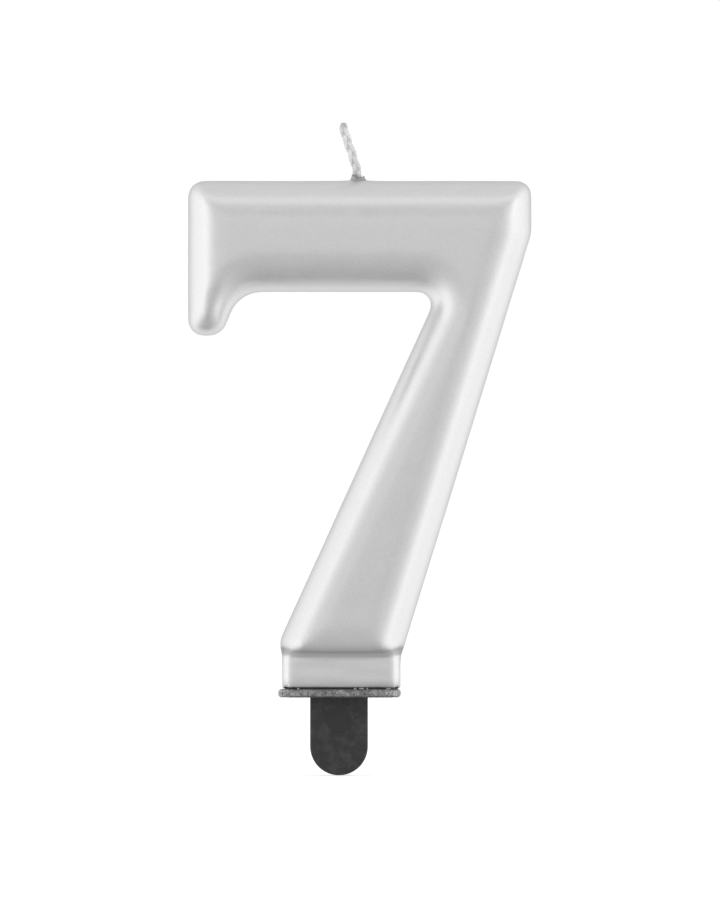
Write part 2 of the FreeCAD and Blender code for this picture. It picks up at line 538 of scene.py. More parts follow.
@dataclass(frozen=True)
class MouldedBlack:
    """Black injection-moulded plastic: fine spark texture, dust, and smudges that spare the pin mark."""

    base: Colour = (0.022, 0.0205, 0.021)
    scuff: Colour = (0.044, 0.040, 0.041)
    dust: Colour = (0.13, 0.125, 0.127)
    grain: float = 0.11 * MM
    smudge: float = 1.5 * MM
    fleck: float = 0.22 * MM
    dusty: Span = (-6.5 * MM, -1.0 * MM)
    rough: Span = (0.36, 0.52)
    mark_z: float = -3.57 * MM
    mark_r: float = 2.0 * MM
    reach: float = 10 * MM

    def from_mark(self, bench: Bench) -> NodeSocket:
        """Distance from the centre of the pin mark on the tongue's front, over 2 at the back.

        Args:
            bench: The material that reads it.

        Returns:
            The distance as a share of the mark's radius.
        """
        squares = []
        share = self.reach / self.mark_r
        for name, centre in (("X", 0.0), ("Z", self.mark_z)):
            offset = bench.mapped(bench.axis(name), centre - self.reach, centre + self.reach, -share, share)
            squares.append((bench.product(offset, offset), 1.0))
        distance = bench.maths("SQRT", bench.sum(*squares))
        back = bench.mapped(bench.axis("Y"), -0.3 * MM, 0.3 * MM, 0.0, 1.0)
        return bench.sum((distance, 1.0), (back, 2.0))

    def build(self) -> Material:
        """Makes the finish.

        Returns:
            The material.
        """
        bench = Bench("moulded_black_plastic")
        grain = bench.cloud(self.grain, 2.0)
        smudge = bench.cloud(self.smudge, 4.0, 0.62)
        dust = bench.cloud(self.fleck, 1.0)
        near_root = bench.mapped(bench.axis("Z"), *self.dusty, 0.25, 1.0, Ramp.SMOOTH)
        outside = bench.mapped(self.from_mark(bench), 0.78, 1.02, 0.12, 1.0, Ramp.SMOOTH)
        marks = bench.product(bench.mapped(smudge, 0.42, 0.66, 0.0, 0.9, Ramp.SMOOTH), outside)
        colour = bench.mix(marks, self.base, self.scuff)
        specks = bench.mapped(dust, 0.72, 0.78, 0.0, 1.0)
        colour = bench.mix(bench.product(specks, near_root), colour, self.dust)
        rough = bench.mapped(smudge, 0.3, 0.7, *self.rough)
        return bench.shade(Base_Color=colour, Roughness=rough, Normal=bench.relief((grain, 0.006 * MM)))


@dataclass(frozen=True)
class WickCotton:
    """Bleached cotton yarn stiffened with wax, with painted shade in the plait's crevices, silvered at the
    root.
    """

    fibre: Colour = (0.86, 0.86, 0.855)
    shade_side: Colour = (0.72, 0.72, 0.715)
    painted_crevice_shade: Colour = (0.52, 0.52, 0.52)
    sooty: Colour = (0.42, 0.42, 0.42)
    silver: Colour = (0.52, 0.52, 0.52)
    fuzz: float = 0.10 * MM
    patch: float = 0.9 * MM
    soot_z: Span = (88.0 * MM, 88.8 * MM)
    spray_z: Span = (81.0 * MM, 82.6 * MM)
    ragged: float = 1.6 * MM

    def build(self) -> Material:
        """Makes the finish.

        Returns:
            The material.
        """
        bench = Bench("waxed_cotton")
        fuzz = bench.cloud(self.fuzz, 3.0, 0.7)
        patch = bench.cloud(self.patch, 2.0)
        height = bench.axis("Z")
        colour = bench.mix(bench.mapped(bench.sum((fuzz, 0.5), (patch, 0.5)), 0.40, 0.60, 0.0, 1.0),
                           self.shade_side, self.fibre)
        colour = bench.mix(bench.mapped(height, *self.soot_z, 0.0, 0.75), colour, self.sooty)
        # painted shade between the strands, where the stored shade mark is high
        colour = bench.mix(bench.marked(CREVICE_SHADE), colour, self.painted_crevice_shade)
        uneven = bench.sum((height, 1.0), (patch, self.ragged))
        sprayed = bench.mapped(uneven, *self.spray_z, 0.85, 0.0, Ramp.SMOOTH)
        colour = bench.mix(sprayed, colour, self.silver)
        relief = bench.relief((fuzz, 0.02 * MM))
        return bench.shade(Base_Color=colour, Roughness=0.72, Subsurface_Weight=0.08,
                           Subsurface_Scale=0.2 * MM, Sheen_Weight=0.15, Normal=relief)


@dataclass(frozen=True)
class CandleWax:
    """Bare off-white paraffin."""

    clear: Colour = (0.78, 0.77, 0.74)
    milky: Colour = (0.87, 0.86, 0.84)
    cloud: float = 1.1 * MM

    def build(self) -> Material:
        """Makes the finish.

        Returns:
            The material.
        """
        bench = Bench("bare_wax")
        cloud = bench.cloud(self.cloud, 3.0)
        colour = bench.mix(bench.mapped(cloud, 0.35, 0.65, 0.0, 1.0), self.clear, self.milky)
        return bench.shade(Base_Color=colour, Roughness=0.45, Subsurface_Weight=0.2,
                           Subsurface_Scale=0.6 * MM, Normal=bench.relief((cloud, 0.03 * MM)))


# ------------------------------------------------------------------ the lacquered numeral


@dataclass(frozen=True)
class CreaseShadeAndPooling:
    """How much painted shade darkens the crease, the band under it and the foot just above the plate, partly
    as pooled lacquer and dirt.
    """

    line: float = 0.62
    line_drop: float = 0.02 * MM
    line_half: float = 0.22 * MM
    above: float = 0.16
    above_reach: Span = (1.3 * MM, 0.1 * MM)
    below: float = 0.84
    below_reach: Span = (-1.30 * MM, -0.80 * MM)
    blend: float = 0.1 * MM
    side: float = 0.2
    side_y: Span = (0.8 * MM, 2.6 * MM)
    foot: float = 0.22
    foot_reach: Span = (1.5 * MM, 0.2 * MM)
    streak: float = 0.45
    streak_size: Point = (3.5 * MM, 3.5 * MM, 0.42 * MM)

    def at(self, place: Vector, crease: float, base: float) -> float:
        """The share of painted shade and pooled lacquer at a point.

        Args:
            place: The point.
            crease: Height of the crease at its X.
            base: Height of the foot's underside.

        Returns:
            A share from 0 to 1.
        """
        # painted shade: a dark line along the crease, partly pooled lacquer
        line = self.line * hump(crease + self.line_drop, self.line_half, place.z)
        above = self.above * ease(*(crease + reach for reach in self.above_reach), place.z)
        # painted shadow in a band under the crease
        below = self.below * ease(*(crease + reach for reach in self.below_reach), place.z)
        shade_and_pool = line + max(above * ease(crease - self.blend, crease, place.z),
                          below * ease(crease + self.blend, crease - self.blend, place.z))
        broad = self.side + (1 - self.side) * ease(*self.side_y, abs(place.y))
        # foot darker just above the plate: painted shadow of the gap, partly dark lacquer streaks
        low = ease(*(base + reach for reach in self.foot_reach), place.z)
        streak = 0.5 + 0.5 * waver(place, self.streak_size, 1.9)
        return min(1.0, broad * shade_and_pool + low * (self.foot + self.streak * streak))


@dataclass
class NumeralForm:
    """The numeral and foot as sprayed: creases softened, faces slightly wavy."""

    crease_shade_and_pooling: CreaseShadeAndPooling = CreaseShadeAndPooling()
    voxel: float = 0.41 * MM
    face_passes: int = 18
    outline_passes: int = 6
    foot_passes: int = 3
    shoulder_passes: int = 16
    hook_passes: int = 70
    face_y: Span = (1.6 * MM, 4.8 * MM)
    stem_rise: Span = (0.5 * MM, 3.0 * MM)
    shoulder_in: Span = (3.4 * MM, 1.6 * MM)
    shoulder_z: Span = (5.0 * MM, 6.4 * MM)
    firm_z: Span = (1.9 * MM, 2.9 * MM)
    hook_x: Span = (-13.0 * MM, -15.5 * MM)
    hook_y: Span = (3.6 * MM, 5.4 * MM)
    hook_z: Span = (65.0 * MM, 60.5 * MM)
    crease_z: float = 7.04 * MM
    smile: float = 0.65 * MM
    groove: float = 0.10 * MM
    groove_half: float = 0.42 * MM
    groove_y: Span = (1.2 * MM, 3.0 * MM)
    wave: float = 0.028 * MM
    wave_size: Point = (11 * MM, 11 * MM, 11 * MM)
    ripple: float = 0.006 * MM
    ripple_size: Point = (2.6 * MM, 2.6 * MM, 2.6 * MM)
    foot_wave: float = 0.055 * MM
    foot_wave_size: Point = (8 * MM, 8 * MM, 1.3 * MM)
    foot_rings: tuple[Point, ...] = ((-0.05 * MM, 2.45 * MM, 0.20 * MM), (0.03 * MM, 1.95 * MM, 0.25 * MM))
    meniscus: Span = (0.16 * MM, 2.0 * MM)
    base_fill: float = 0.14 * MM
    base_band: Span = (0.9 * MM, 0.15 * MM)
    plug_margin: float = 0.2 * MM
    plug_wall: float = 1.2 * MM
    plug_height: float = 4.0 * MM

    def closed(self) -> bmesh.types.BMesh:
        """Lacquer and wax of the CAD as one lump, its openings plugged.

        Returns:
            The lump.
        """
        bm = bmesh.new()
        for node in ("lacquer_coat", "wax_body"):
            bm.from_mesh(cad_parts[node].data)
        bmesh.ops.remove_doubles(bm, verts=bm.verts[:], dist=MERGE)
        low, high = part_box("lacquer_coat")
        seal_low, seal_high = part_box("wick_seal")
        plate_low, plate_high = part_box("holder")
        margin, wall = self.plug_margin, self.plug_wall
        block(bm, (seal_low.x - margin, seal_low.y, seal_low.z - margin),
              (seal_high.x + margin, seal_high.y, high.z))
        block(bm, (plate_low.x + 2 * wall, plate_low.y + wall, low.z),
              (plate_high.x - 2 * wall, plate_high.y - wall, low.z + self.plug_height))
        return bm

    def passes_at(self, place: Vector, foot: Span) -> int:
        """How often a point is smoothed: most on the hook's ridge and the faces, least on the foot.

        Args:
            place: The point.
            foot: The foot's left and right side.

        Returns:
            The number of passes.
        """
        passes = self.outline_passes
        passes += (self.face_passes - self.outline_passes) * ease(*self.face_y, abs(place.y))
        above = ease(*self.stem_rise, place.z - self.crease_z)
        from_end = min(place.x - foot[0], foot[1] - place.x)
        shoulder = ease(*self.shoulder_in, from_end) * ease(*self.shoulder_z, place.z)
        low = self.foot_passes + (self.shoulder_passes - self.foot_passes) * shoulder
        low *= ease(*self.firm_z, place.z)
        hook = ease(*self.hook_z, place.z) * ease(*self.hook_x, place.x)
        extra = (self.hook_passes - self.face_passes) * hook * ease(*self.hook_y, abs(place.y))
        return round(min(passes, low + (self.face_passes - low) * above) + extra)

    def foot_sides(self, bm: bmesh.types.BMesh) -> Span:
        """The foot's left and right side."""
        sides = [vert.co.x for vert in bm.verts if vert.co.z < 0.5 * self.crease_z]
        return min(sides), max(sides)

    def soften(self, bm: bmesh.types.BMesh) -> None:
        """Softens the creases, each point as often as its place asks.

        Args:
            bm: The skin, which is changed.
        """
        foot = self.foot_sides(bm)
        share = [(vert, self.passes_at(vert.co, foot)) for vert in bm.verts]
        for turn in range(max(passes for _, passes in share)):
            relax(bm, [vert for vert, passes in share if passes > turn])

    def crease_at(self, place: Vector, foot: Span) -> float:
        """Height of the crease under the stem, which rises a little towards its ends.

        Args:
            place: The point.
            foot: The foot's left and right side.

        Returns:
            The height at the point's X.
        """
        half = (foot[1] - foot[0]) / 2
        share = min(1.0, abs(place.x - (foot[0] + foot[1]) / 2) / half)
        return self.crease_z + self.smile * share ** 4

    def lift_at(self, place: Vector, wick: Vector, foot: Span) -> float:
        """How far the film stands out of its plain form at a point.

        Args:
            place: The point.
            wick: Where the wick leaves the wax.
            foot: The foot's left and right side.

        Returns:
            The height along the normal, in metres.
        """
        lift = self.wave * waver(place, self.wave_size, 3.7)
        lift += self.ripple * waver(place, self.ripple_size, 9.1)
        on_foot = ease(self.crease_z, self.crease_z - 1.0 * MM, place.z)
        lift += on_foot * self.foot_wave * waver(place, self.foot_wave_size, 5.3)
        crease = hump(self.crease_at(place, foot), self.groove_half, place.z)
        lift -= self.groove * ease(*self.groove_y, abs(place.y)) * crease
        for height, centre, half in self.foot_rings:
            lift += height * hump(centre, half, place.z)
        height, half = self.meniscus
        return lift + height * hump(0.0, half, (place - wick).length)

    def build(self) -> bmesh.types.BMesh:
        """Makes the outer surface.

        Returns:
            One closed mesh, with the painted shade of its creases and foot stored on its points.
        """
        bm = remeshed(self.closed(), self.voxel)
        self.soften(bm)
        seal_low, seal_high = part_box("wick_seal")
        low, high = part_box("lacquer_coat")
        wick = Vector(((seal_low.x + seal_high.x) / 2, 0.0, high.z))
        foot = self.foot_sides(bm)
        bm.normal_update()
        moves = [vert.normal * self.lift_at(vert.co, wick, foot) for vert in bm.verts]
        for vert, move in zip(bm.verts, moves):
            vert.co += move
            vert.co.z -= self.base_fill * ease(*(low.z + reach for reach in self.base_band), vert.co.z)
        bm.normal_update()
        # stores the painted shade, partly pooled lacquer, that the lacquer's colour reads
        layer = bm.verts.layers.float.new(CREVICE_SHADE)
        for vert in bm.verts:
            vert[layer] = self.crease_shade_and_pooling.at(vert.co, self.crease_at(vert.co, foot), low.z)
        return bm


@dataclass
class LacquerCoat:
    """The lacquer film over numeral and foot, open under the foot where the holder's pad enters."""

    finish: Material
    film: float = 0.20 * MM
    pad_inset: float = 0.4 * MM
    foot_band: float = 1.0 * MM
    flat: float = 0.3 * MM

    def open_base(self, bm: bmesh.types.BMesh) -> None:
        """Cuts the opening for the holder's pad out of the underside.

        Args:
            bm: The film, which is changed.
        """
        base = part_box("lacquer_coat")[0].z
        foot = [vert.co for vert in bm.verts if vert.co.z < base + self.foot_band]
        left = min(place.x for place in foot) + self.pad_inset
        right = max(place.x for place in foot) - self.pad_inset
        front = max(place.y for place in foot) - self.pad_inset
        under = []
        for face in bm.faces:
            centre = face.calc_center_median()
            if centre.z < base + self.flat and left < centre.x < right and abs(centre.y) < front:
                under.append(face)
        bmesh.ops.delete(bm, geom=under, context="FACES")

    def build(self, form: bmesh.types.BMesh) -> Object:
        """Makes the film from a copy of the form.

        Args:
            form: The numeral's outer surface.

        Returns:
            The piece.
        """
        bm = form.copy()
        self.open_base(bm)
        piece = finished("lacquer_film", bm, self.finish, "lacquer_coat")
        thicken(piece, self.film)
        return piece


@dataclass
class WaxCore:
    """The cast wax under the film, with the pocket that the holder's tang fills and the wick's hole."""

    finish: Material
    inset: float = 0.22 * MM
    hole_sides: int = 48
    sharp: float = 35.0

    def wick_bore(self) -> Object:
        """Cutter for the hole that wick and seal fill.

        Returns:
            A closed cylinder.
        """
        low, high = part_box("wick_seal")
        bm = bmesh.new()
        radius = (high.x - low.x) / 2
        middle = Vector(((low.x + high.x) / 2, 0.0, high.z))
        bmesh.ops.create_cone(bm, cap_ends=True, segments=self.hole_sides, radius1=radius, radius2=radius,
                              depth=2 * (high.z - low.z), matrix=Matrix.Translation(middle))
        return loose_object("wick_bore", bm)

    def build(self, form: bmesh.types.BMesh) -> Object:
        """Makes the core from a copy of the form.

        Args:
            form: The numeral's outer surface.

        Returns:
            The piece.
        """
        bm = form.copy()
        moves = [vert.normal * -self.inset for vert in bm.verts]
        for vert, move in zip(bm.verts, moves):
            vert.co += move
        holder = bmesh.new()
        holder.from_mesh(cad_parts["holder"].data)
        bmesh.ops.remove_doubles(holder, verts=holder.verts[:], dist=MERGE)
        for cutter in (loose_object("tang_pocket", holder), self.wick_bore()):
            bm = cut_away(bm, cutter)
            bpy.data.objects.remove(cutter)
        return finished("wax_core", bm, self.finish, "wax_body", self.sharp)


@dataclass
class LacquerCollar:
    """Lacquer that crept up the wick and set as an uneven collar with a pit at the front."""

    finish: Material
    steps: int = 72
    height: float = 0.58
    lobes: float = 0.30
    tilt: float = 0.20
    dip: float = 0.22
    uneven: float = 0.34
    uneven_size: Point = (0.55 * MM, 0.55 * MM, 1.5 * MM)
    swell: float = 0.10
    swell_size: Point = (0.8 * MM, 0.8 * MM, 0.8 * MM)
    profile: tuple[Span, ...] = (
        (0.50, -0.30), (0.54, 0.10), (0.60, 0.55), (0.67, 0.84), (0.76, 0.97), (0.87, 0.99), (0.96, 0.92),
        (1.02, 0.76), (1.05, 0.58), (1.09, 0.42), (1.16, 0.28), (1.26, 0.15), (1.42, 0.05), (1.50, -0.30))

    def rise_at(self, turn: float, place: Vector) -> float:
        """How much of the full height the collar has in one direction.

        Args:
            turn: Angle round the wick, 0 to the right.
            place: The point, for the unevenness.

        Returns:
            A factor.
        """
        sides = self.height + self.lobes * abs(math.cos(turn)) ** 1.5 - self.tilt * math.cos(turn)
        front = self.dip * hump(-math.pi / 2, 0.45, turn)
        return sides - front + self.uneven * waver(place, self.uneven_size, 2.2)

    def shape(self, vert: bmesh.types.BMVert, root: Vector, layer: bmesh.types.BMLayerItem) -> None:
        """Makes one point of the turned ring uneven and stores its painted shade.

        Args:
            vert: The point, which is changed.
            root: Where the wick leaves the wax.
            layer: Where the painted shade is stored.
        """
        offset = vert.co - root
        turn = math.atan2(offset.y, offset.x)
        radius = math.hypot(offset.x, offset.y)
        if offset.z > 0:
            outer = ease(1.35 * MM, 1.08 * MM, radius)
            offset.z *= 1 + outer * (self.rise_at(turn, vert.co) - 1)
        swell = 1 + self.swell * waver(vert.co, self.swell_size, 7.7) * ease(0.8 * MM, 1.5 * MM, radius)
        vert.co = root + Vector((offset.x * swell, offset.y * swell, offset.z))
        # painted shade: the whole collar darkened, most in the pit at the front and against the wick
        pit = hump(-math.pi / 2, 0.7, turn) * ease(1.25 * MM, 0.85 * MM, radius)
        inside = ease(0.80 * MM, 0.66 * MM, radius)
        vert[layer] = min(1.2, 0.95 + pit * 0.5 + inside * 0.4) * ease(1.55 * MM, 1.2 * MM, radius)

    def build(self) -> Object:
        """Makes the piece.

        Returns:
            The piece, riding on the candle.
        """
        low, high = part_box("wick_seal")
        root = Vector(((low.x + high.x) / 2, 0.0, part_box("lacquer_coat")[1].z))
        bm = bmesh.new()
        ring = [bm.verts.new(root + Vector((r * MM, 0.0, z * MM))) for r, z in self.profile]
        edges = [bm.edges.new(pair) for pair in zip(ring, ring[1:] + ring[:1])]
        bmesh.ops.spin(bm, geom=ring + edges, cent=root, axis=(0, 0, 1), angle=2 * math.pi,
                       steps=self.steps, use_merge=True)
        bmesh.ops.remove_doubles(bm, verts=bm.verts[:], dist=MERGE)
        layer = bm.verts.layers.float.new(CREVICE_SHADE)
        for vert in bm.verts:
            self.shape(vert, root, layer)
        relax(bm, bm.verts[:])
        return finished("lacquer_collar", bm, self.finish)


# ------------------------------------------------------------------ the wick


@dataclass
class PlaitedWick:
    """Flat three-strand plait of twisted cotton yarns, cut at the tip, with a few loose fibres."""

    finish: Material
    line: tuple[Span, ...] = (
        (2.98, 66.0), (2.98, 79.4), (2.90, 81.2), (2.12, 83.9), (1.42, 85.9), (0.74, 87.9), (0.66, 88.99))
    strands: int = 3
    yarns: int = 6
    pitch: float = 7.2 * MM
    swing: float = 0.38 * MM
    depth: float = 0.22 * MM
    strand_r: float = 0.22 * MM
    yarn_r: float = 0.145 * MM
    twist: float = 2.6 * MM
    core_r: float = 0.34 * MM
    step: float = 0.09 * MM
    tip_steps: int = 12
    tip_taper: float = 0.50
    ragged_steps: int = 6
    shade_reach: Span = (0.82, 0.40)
    loose: int = 16
    loose_from: float = 0.64
    loose_length: Span = (0.35 * MM, 0.95 * MM)
    loose_r: float = 0.11
    loose_points: int = 8
    stand: float = 0.42 * MM
    seed: int = 7

    def centre_line(self) -> list[Vector]:
        """Lays the wick's smooth centre line.

        Returns:
            Evenly spaced points along it.
        """
        data = bpy.data.curves.new("wick_line", "CURVE")
        data.dimensions = "3D"
        spline = data.splines.new("NURBS")
        spline.points.add(len(self.line) - 1)
        for point, (x, z) in zip(spline.points, self.line):
            point.co = (x * MM, 0.0, z * MM, 1.0)
        spline.order_u = 3
        spline.use_endpoint_u = True
        spline.resolution_u = 40
        raw = [vert.co.copy() for vert in curve_mesh(data).vertices]
        even, carried = [raw[0]], 0.0
        for start, end in zip(raw, raw[1:]):
            length = (end - start).length
            while carried + length >= self.step:
                part = (self.step - carried) / length
                start = start.lerp(end, part)
                even.append(start)
                length = (end - start).length
                carried = 0.0
            carried += length
        return even

    def yarn(self, line: list[Vector], strand: int, yarn: int, trim: int) -> list[Vector]:
        """Points along one yarn.

        Args:
            line: The wick's centre line.
            strand: Which strand it is in.
            yarn: Which yarn of the strand.
            trim: How many steps it stops short of the tip.

        Returns:
            Its points.
        """
        points = []
        count = len(line)
        for index in range(count - trim):
            ahead = line[min(index + 1, count - 1)] - line[max(index - 1, 0)]
            along = ahead.normalized()
            side = Vector((0, 1, 0)).cross(along).normalized()
            run = index * self.step
            phase = 2 * math.pi * (run / self.pitch + strand / self.strands)
            turn = 2 * math.pi * (run / self.twist + yarn / self.yarns) + strand
            taper = 1 - self.tip_taper * ease(count - self.tip_steps, count, index)
            across = self.swing * math.sin(phase) * taper + self.strand_r * math.cos(turn) * taper
            deep = self.depth * math.sin(2 * phase) * taper + self.strand_r * math.sin(turn) * taper
            points.append(line[index] + side * across + Vector((0, 1, 0)) * deep)
        return points

    def fibre(self, line: list[Vector], dice: random.Random) -> list[Vector]:
        """Points along one loose fibre that stands off the plait.

        Args:
            line: The wick's centre line.
            dice: Source of its place, direction and curl.

        Returns:
            Its points.
        """
        index = dice.randrange(int(len(line) * self.loose_from), len(line) - 4)
        turn = dice.uniform(0, 2 * math.pi)
        out = Vector((math.cos(turn), math.sin(turn), 0.0))
        along = (line[index + 1] - line[index]).normalized()
        start = line[index] + out * self.stand
        length = dice.uniform(*self.loose_length)
        curl = Vector((dice.uniform(-1, 1), dice.uniform(-1, 1), dice.uniform(-1, 1))) * 0.5
        points = []
        for number in range(self.loose_points):
            share = number / (self.loose_points - 1)
            points.append(start + (out * 0.75 * share + along * 0.7 * share + curl * share * share) * length)
        return points

    def add_tube(self, data: bpy.types.Curve, points: list[Vector], radius: float) -> None:
        """Adds one round yarn to the curve.

        Args:
            data: The curve.
            points: Where it runs.
            radius: Its share of the full yarn's radius.
        """
        spline = data.splines.new("POLY")
        spline.points.add(len(points) - 1)
        for point, place in zip(spline.points, points):
            point.co = (*place, 1.0)
            point.radius = radius

    def build(self) -> Object:
        """Makes the piece.

        Returns:
            The piece, riding on the candle.
        """
        dice = random.Random(self.seed)
        line = self.centre_line()
        data = bpy.data.curves.new("wick_yarns", "CURVE")
        data.dimensions = "3D"
        data.bevel_depth = self.yarn_r
        data.bevel_resolution = 1
        data.use_fill_caps = True
        for strand in range(self.strands):
            for yarn in range(self.yarns):
                trim = dice.randrange(0, self.ragged_steps)
                self.add_tube(data, self.yarn(line, strand, yarn, trim), 1.0)
        self.add_tube(data, line[:-self.ragged_steps], self.core_r / self.yarn_r)
        for _ in range(self.loose):
            self.add_tube(data, self.fibre(line, dice), self.loose_r)
        bm = bmesh.new()
        bm.from_mesh(curve_mesh(data))
        bmesh.ops.remove_doubles(bm, verts=bm.verts[:], dist=MERGE)
        self.mark_crevice_shade(bm, line)
        return finished("plaited_wick", bm, self.finish, "wick")

    def mark_crevice_shade(self, bm: bmesh.types.BMesh, line: list[Vector]) -> None:
        """Stores how deep within the plait each point is, as painted shade for its crevices.

        Args:
            bm: The plait.
            line: The wick's centre line.
        """
        layer = bm.verts.layers.float.new(CREVICE_SHADE)
        start = line[0].z
        nearest = {int((place.z - start) / self.step): place for place in line}
        wide = self.swing + self.strand_r + self.yarn_r
        deep = self.depth + self.strand_r + self.yarn_r
        for vert in bm.verts:
            offset = vert.co - nearest.get(int((vert.co.z - start) / self.step), line[-1])
            reach = math.hypot(offset.x / wide, offset.y / deep)
            vert[layer] = ease(*self.shade_reach, reach)


# ------------------------------------------------------------------ the holder


@dataclass
class PlateOverspray:
    """Stray lacquer round the holder's plate, thin, ragged and worn."""

    finish: Material
    stand_off: float = 0.035 * MM
    film: float = 0.025 * MM
    voxel: float = 0.17 * MM
    corner: float = 2.2 * MM
    edge: float = 0.50 * MM
    thickness: float = 1.20 * MM
    wrap: float = 1.1 * MM
    wrap_below: float = 0.55
    wrap_above: float = 1.4
    ragged: float = 0.55
    ragged_size: Point = (0.9 * MM, 0.9 * MM, 0.9 * MM)
    frayed: float = 0.25
    frayed_size: Point = (0.35 * MM, 0.35 * MM, 0.35 * MM)
    bumps: float = 0.030 * MM
    bump_size: Point = (0.42 * MM, 0.42 * MM, 0.42 * MM)

    def plate(self) -> bmesh.types.BMesh:
        """The plate's rounded block, a little larger all round.

        Returns:
            The block.
        """
        low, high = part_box("holder")
        bm = bmesh.new()
        out = self.stand_off
        block(bm, (low.x - out, low.y - out, -out), (high.x + out, high.y + out, self.thickness + out))
        upright = [e for e in bm.edges if abs(e.verts[0].co.z - e.verts[1].co.z) > MERGE]
        bmesh.ops.bevel(bm, geom=upright, offset=self.corner + out, segments=12, profile=0.5,
                        affect="EDGES", material=-1)
        level = [e for e in bm.edges if abs(e.verts[0].co.z - e.verts[1].co.z) < MERGE]
        bmesh.ops.bevel(bm, geom=level, offset=self.edge + out, segments=6, profile=0.5, affect="EDGES",
                        material=-1)
        return bm

    def keep(self, place: Vector, low: Vector, high: Vector) -> bool:
        """Whether lacquer reached a point of the plate.

        Args:
            place: The point.
            low: The holder's lowest corner, of which X and Y are used.
            high: Its highest corner, likewise.

        Returns:
            True if the film covers it.
        """
        inward = min(place.x - low.x, high.x - place.x, place.y - low.y, high.y - place.y)
        ragged = 1 + self.ragged * waver(place, self.ragged_size, 4.4)
        ragged += self.frayed * waver(place, self.frayed_size, 6.1)
        share = self.wrap_below if place.z < 0.1 * MM else self.wrap_above
        return inward < share * self.wrap * ragged

    def unpinch(self, bm: bmesh.types.BMesh) -> None:
        """Opens every point where two patches meet in that point alone, so that the film can close.

        Args:
            bm: The film, which is changed.
        """
        while pinched := [v for v in bm.verts if sum(e.is_boundary for e in v.link_edges) > 2]:
            faces = {face for vert in pinched for face in vert.link_faces}
            bmesh.ops.delete(bm, geom=list(faces), context="FACES")

    def build(self) -> Object:
        """Makes the piece.

        Returns:
            The piece, riding on the candle.
        """
        low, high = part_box("holder")
        bm = remeshed(self.plate(), self.voxel)
        relax(bm, bm.verts[:])
        gone = [f for f in bm.faces if not self.keep(f.calc_center_median(), low, high)]
        bmesh.ops.delete(bm, geom=gone, context="FACES")
        self.unpinch(bm)
        bm.normal_update()
        layer = bm.verts.layers.float.new(CREVICE_SHADE)
        moves = []
        for vert in bm.verts:
            lump = max(0.0, waver(vert.co, self.bump_size, 8.8))
            moves.append(vert.normal * lump * self.bumps)
            # painted shade mark: high along the plate's lower edge, less at its two ends
            ends = ease(3.0 * MM, 0.5 * MM, min(vert.co.x - low.x, high.x - vert.co.x))
            vert[layer] = ease(0.35 * MM, 0.02 * MM, vert.co.z) * (1 - 0.6 * ends)
        for vert, move in zip(bm.verts, moves):
            vert.co += move
        piece = finished("plate_overspray", bm, self.finish)
        thicken(piece, self.film)
        return piece


@dataclass
class LacquerBridges:
    """Beads of lacquer that set in the narrow gap between foot and plate, greyed by painted shade of the
    gap.
    """

    finish: Material
    front: tuple[Span, ...] = ((-6.3, 0.4), (2.5, 0.5), (3.5, 0.9), (4.4, 0.5), (7.6, 0.8))
    back: tuple[Span, ...] = ((-5.2, 0.7), (1.1, 0.5), (6.4, 0.9))
    depth: float = 5.42 * MM
    height: float = 1.33 * MM
    half_deep: float = 0.30 * MM
    half_high: float = 0.15 * MM
    shift_in: float = 0.10 * MM
    shift_across: float = 0.20 * MM
    gap_shade: float = 0.7

    def build(self) -> Object:
        """Makes the piece.

        Returns:
            The piece, riding on the candle.
        """
        bm = bmesh.new()
        for places, y in ((self.front, -self.depth), (self.back, self.depth)):
            for x, length in places:
                size = Matrix.Diagonal((length * MM / 2, self.half_deep, self.half_high, 1.0))
                spot = Matrix.Translation((x * MM, y, self.height))
                bmesh.ops.create_icosphere(bm, subdivisions=4, radius=1.0, matrix=spot @ size)
        layer = bm.verts.layers.float.new(CREVICE_SHADE)
        for vert in bm.verts:
            vert.co.y += self.shift_in * waver(vert.co, (0.5 * MM, 0.5 * MM, 0.5 * MM), 3.3)
            vert.co.x += self.shift_across * waver(vert.co, (0.4 * MM, 0.4 * MM, 0.25 * MM), 5.9)
            # painted shade of the gap, the same on every bead
            vert[layer] = self.gap_shade
        return finished("lacquer_beads", bm, self.finish)


def dress(node: str, finish: Material) -> Object:
    """Gives a CAD node its finish.

    Args:
        node: The node's name.
        finish: Its material.

    Returns:
        The node's object.
    """
    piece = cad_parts[node]
    piece.data.materials.clear()
    piece.data.materials.append(finish)
    return piece


# ------------------------------------------------------------------ studio


@dataclass(frozen=True)
class Panel:
    """One soft light: degrees round from the front and up, distance, width and height, and watts."""

    name: str
    around: float
    up: float
    reach: float
    size: Span
    power: float

    def direction(self) -> Vector:
        """Unit vector from the numeral to the panel."""
        around, up = math.radians(self.around), math.radians(self.up)
        return Vector((math.sin(around) * math.cos(up), -math.cos(around) * math.cos(up), math.sin(up)))


